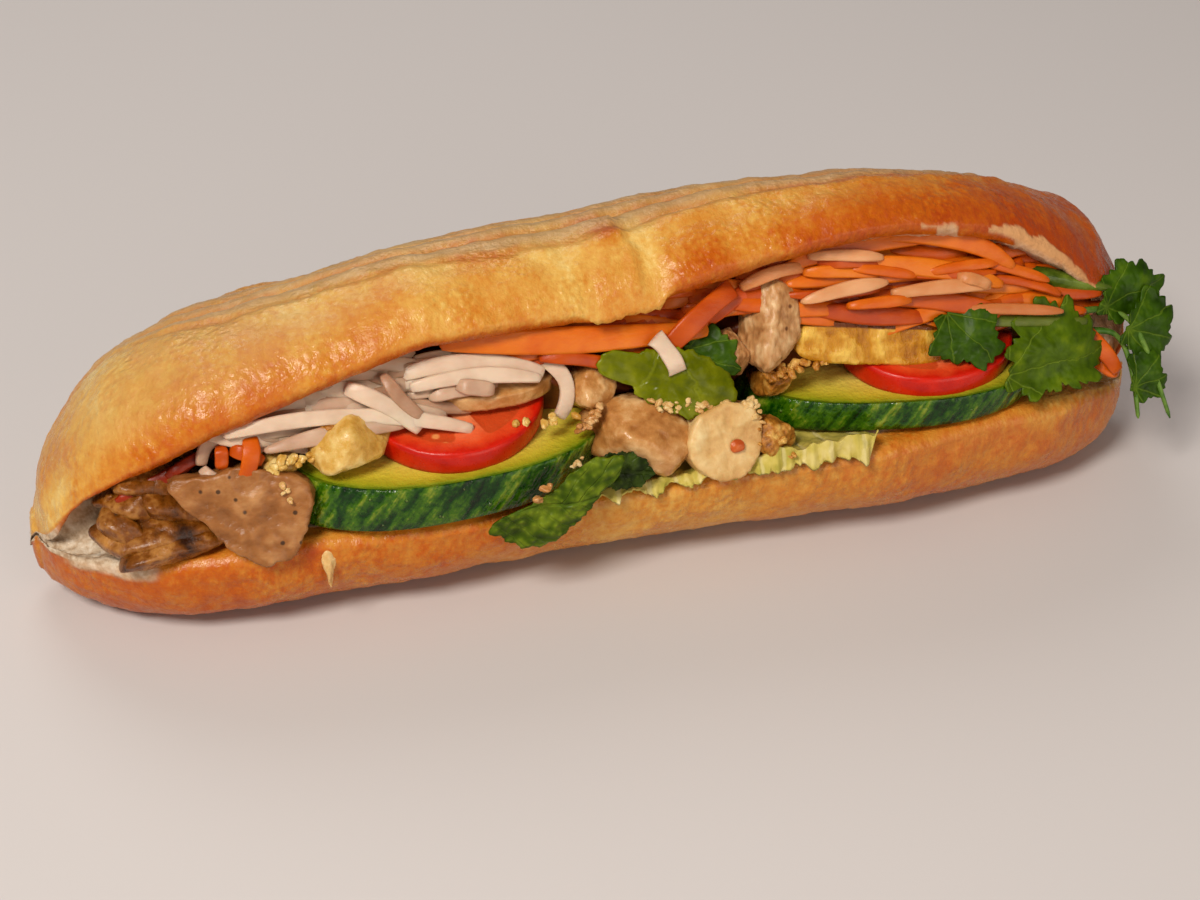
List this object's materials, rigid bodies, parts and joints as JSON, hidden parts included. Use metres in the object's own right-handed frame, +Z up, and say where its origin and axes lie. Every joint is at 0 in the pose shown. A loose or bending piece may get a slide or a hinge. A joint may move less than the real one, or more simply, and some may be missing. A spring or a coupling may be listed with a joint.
{
  "type": "banh mi sandwich",
  "caption": "Long crusty roll split along its front and hinged at the back, filled with meat, cucumber, tomato, grated pickle, egg and herbs, served as a whole sandwich.",
  "frame": {"origin": "middle of the sandwich's box, at the height of the surface it lies on", "axes": "+X along the roll, toward the end with the hanging herb sprig; -Y out of the open side where the filling shows; +Z up from the flat underside"},
  "size_m": [0.2426, 0.082, 0.0744],
  "materials": {
    "crust": "baked crust, satin, browner toward the ends",
    "lettuce": "moist leaf",
    "cucumber": "wet dark green skin, paler flesh",
    "tomato": "wet cut fruit with a shiny skin",
    "braised_meat": "glazed, rough",
    "sliced_meat": "moist cut meat",
    "chicken": "torn cooked meat",
    "pale_meat": "pale cut meat",
    "egg": "fried, golden",
    "fried_scrap": "crisp brown scrap",
    "mint": "soft veined leaf",
    "coriander": "thin toothed leaf",
    "chilli": "smooth skin",
    "daikon": "wet translucent strip",
    "carrot": "wet strip"
  },
  "bodies": {
    "root": {"bread": "crust", "lettuce": "lettuce", "cucumber_left": "cucumber", "cucumber_right": "cucumber", "tomato_left": "tomato", "tomato_right": "tomato", "round_slice": "pale_meat", "peppered_slice": "sliced_meat", "braised_meat_low": "braised_meat", "braised_meat_high": "braised_meat", "chicken_large": "chicken", "chicken_small": "chicken", "egg_chunk": "egg", "fried_scrap_left": "fried_scrap", "fried_scrap_middle": "fried_scrap", "shredded_chicken": "chicken", "shredded_chicken_small": "chicken", "fried_scrap_right": "fried_scrap", "egg_strip": "egg", "thin_meat_slice": "sliced_meat", "mint_leaf": "mint", "mint_leaf_under": "mint", "coriander_middle": "coriander", "coriander_dark": "coriander", "coriander_right": "coriander", "coriander_large": "coriander", "green_chilli": "chilli", "coriander_sprig": "coriander", "pickle_left": "daikon", "pickle_right": "carrot"}
  },
  "joints": []
}
